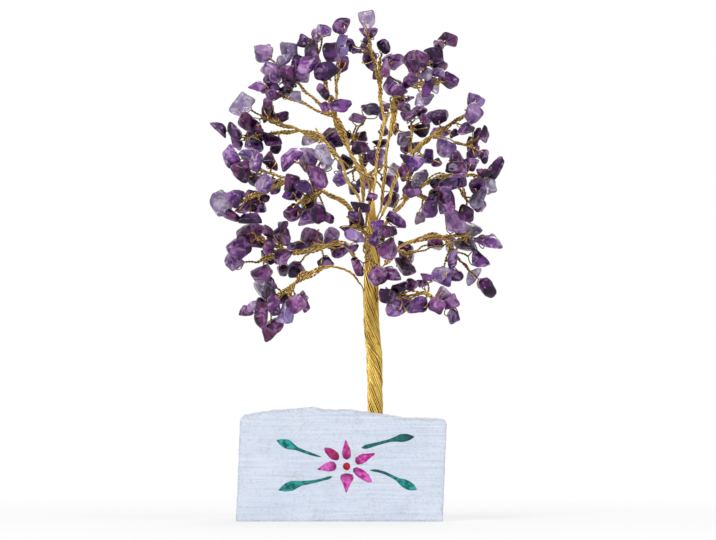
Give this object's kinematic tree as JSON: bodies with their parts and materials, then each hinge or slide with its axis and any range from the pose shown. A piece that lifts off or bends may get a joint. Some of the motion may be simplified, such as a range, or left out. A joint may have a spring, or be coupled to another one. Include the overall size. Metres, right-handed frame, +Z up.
{
  "type": "gemstone tree ornament",
  "caption": "Free-standing gemstone tree: drilled violet stone chips on bendable twisted-wire branches, over a wire trunk set in a small marble block with a painted flower.",
  "frame": {"origin": "middle of the block's underside, on the surface it stands on", "axes": "+X to the viewer's right across the painted face, +Y away from the painted face, +Z up the trunk"},
  "size_m": [0.145, 0.1003, 0.2547],
  "materials": {
    "marble": "sawn, matte",
    "adhesive": "set clear-amber glue",
    "petal_paint": "acrylic brush paint",
    "centre_paint": "acrylic brush paint",
    "leaf_paint": "acrylic brush paint",
    "wire": "drawn wire, slightly dull",
    "amethyst": "tumbled, polished"
  },
  "bodies": {
    "base": {"base_block": "marble", "socket_glue": "adhesive", "flower_petals": "petal_paint", "flower_centre": "centre_paint", "leaf_sprigs": "leaf_paint", "trunk_core": "wire", "trunk_strands": "wire"},
    "branch_crown_top": {"limb_crown_top": "wire", "twigs_crown_top": "wire", "chip_wires_crown_top": "wire", "chips_crown_top": "amethyst"},
    "branch_upper_left": {"limb_upper_left": "wire", "twigs_upper_left": "wire", "chip_wires_upper_left": "wire", "chips_upper_left": "amethyst"},
    "branch_left_high": {"limb_left_high": "wire", "twigs_left_high": "wire", "chip_wires_left_high": "wire", "chips_left_high": "amethyst"},
    "branch_left": {"limb_left": "wire", "twigs_left": "wire", "chip_wires_left": "wire", "chips_left": "amethyst"},
    "branch_left_low": {"limb_left_low": "wire", "twigs_left_low": "wire", "chip_wires_left_low": "wire", "chips_left_low": "amethyst"},
    "branch_lower_left": {"limb_lower_left": "wire", "twigs_lower_left": "wire", "chip_wires_lower_left": "wire", "chips_lower_left": "amethyst"},
    "branch_centre_high": {"limb_centre_high": "wire", "twigs_centre_high": "wire", "chip_wires_centre_high": "wire", "chips_centre_high": "amethyst"},
    "branch_centre_low": {"limb_centre_low": "wire", "twigs_centre_low": "wire", "chip_wires_centre_low": "wire", "chips_centre_low": "amethyst"},
    "branch_top_right": {"limb_top_right": "wire", "twigs_top_right": "wire", "chip_wires_top_right": "wire", "chips_top_right": "amethyst"},
    "branch_right_high": {"limb_right_high": "wire", "twigs_right_high": "wire", "chip_wires_right_high": "wire", "chips_right_high": "amethyst"},
    "branch_right": {"limb_right": "wire", "twigs_right": "wire", "chip_wires_right": "wire", "chips_right": "amethyst"},
    "branch_right_low": {"limb_right_low": "wire", "twigs_right_low": "wire", "chip_wires_right_low": "wire", "chips_right_low": "amethyst"},
    "branch_lower_right": {"limb_lower_right": "wire", "twigs_lower_right": "wire", "chip_wires_lower_right": "wire", "chips_lower_right": "amethyst"}
  },
  "joints": [
    {"name": "bend_crown_top", "type": "hinge", "parent": "base", "child": "branch_crown_top", "pos_m": [0.0165, 0, 0.1609], "axis": [0, 1, 0], "range_deg": [-8, 8]},
    {"name": "bend_upper_left", "type": "hinge", "parent": "base", "child": "branch_upper_left", "pos_m": [0.01165, -0.00507, 0.1569], "axis": [0, 1, 0], "range_deg": [-8, 8]},
    {"name": "bend_left_high", "type": "hinge", "parent": "base", "child": "branch_left_high", "pos_m": [0.01062, 0.00297, 0.15857], "axis": [0, 1, 0], "range_deg": [-8, 8]},
    {"name": "bend_left", "type": "hinge", "parent": "base", "child": "branch_left", "pos_m": [0.01008, -0.00291, 0.14615], "axis": [0, 1, 0], "range_deg": [-8, 8]},
    {"name": "bend_left_low", "type": "hinge", "parent": "base", "child": "branch_left_low", "pos_m": [0.01001, 0.00134, 0.12771], "axis": [0, 1, 0], "range_deg": [-8, 8]},
    {"name": "bend_lower_left", "type": "hinge", "parent": "base", "child": "branch_lower_left", "pos_m": [0.01025, -0.00219, 0.11805], "axis": [0, 1, 0], "range_deg": [-8, 8]},
    {"name": "bend_centre_high", "type": "hinge", "parent": "base", "child": "branch_centre_high", "pos_m": [0.01551, 0.00662, 0.14833], "axis": [0, 1, 0], "range_deg": [-8, 8]},
    {"name": "bend_centre_low", "type": "hinge", "parent": "base", "child": "branch_centre_low", "pos_m": [0.01666, -0.00664, 0.13041], "axis": [0, 1, 0], "range_deg": [-8, 8]},
    {"name": "bend_top_right", "type": "hinge", "parent": "base", "child": "branch_top_right", "pos_m": [0.02031, -0.00568, 0.15395], "axis": [0, 1, 0], "range_deg": [-8, 8]},
    {"name": "bend_right_high", "type": "hinge", "parent": "base", "child": "branch_right_high", "pos_m": [0.02145, 0.00478, 0.1524], "axis": [0, 1, 0], "range_deg": [-8, 8]},
    {"name": "bend_right", "type": "hinge", "parent": "base", "child": "branch_right", "pos_m": [0.02199, -0.00402, 0.14602], "axis": [0, 1, 0], "range_deg": [-8, 8]},
    {"name": "bend_right_low", "type": "hinge", "parent": "base", "child": "branch_right_low", "pos_m": [0.02284, 0.00212, 0.12775], "axis": [0, 1, 0], "range_deg": [-8, 8]},
    {"name": "bend_lower_right", "type": "hinge", "parent": "base", "child": "branch_lower_right", "pos_m": [0.02265, -0.00191, 0.11415], "axis": [0, 1, 0], "range_deg": [-8, 8]}
  ]
}
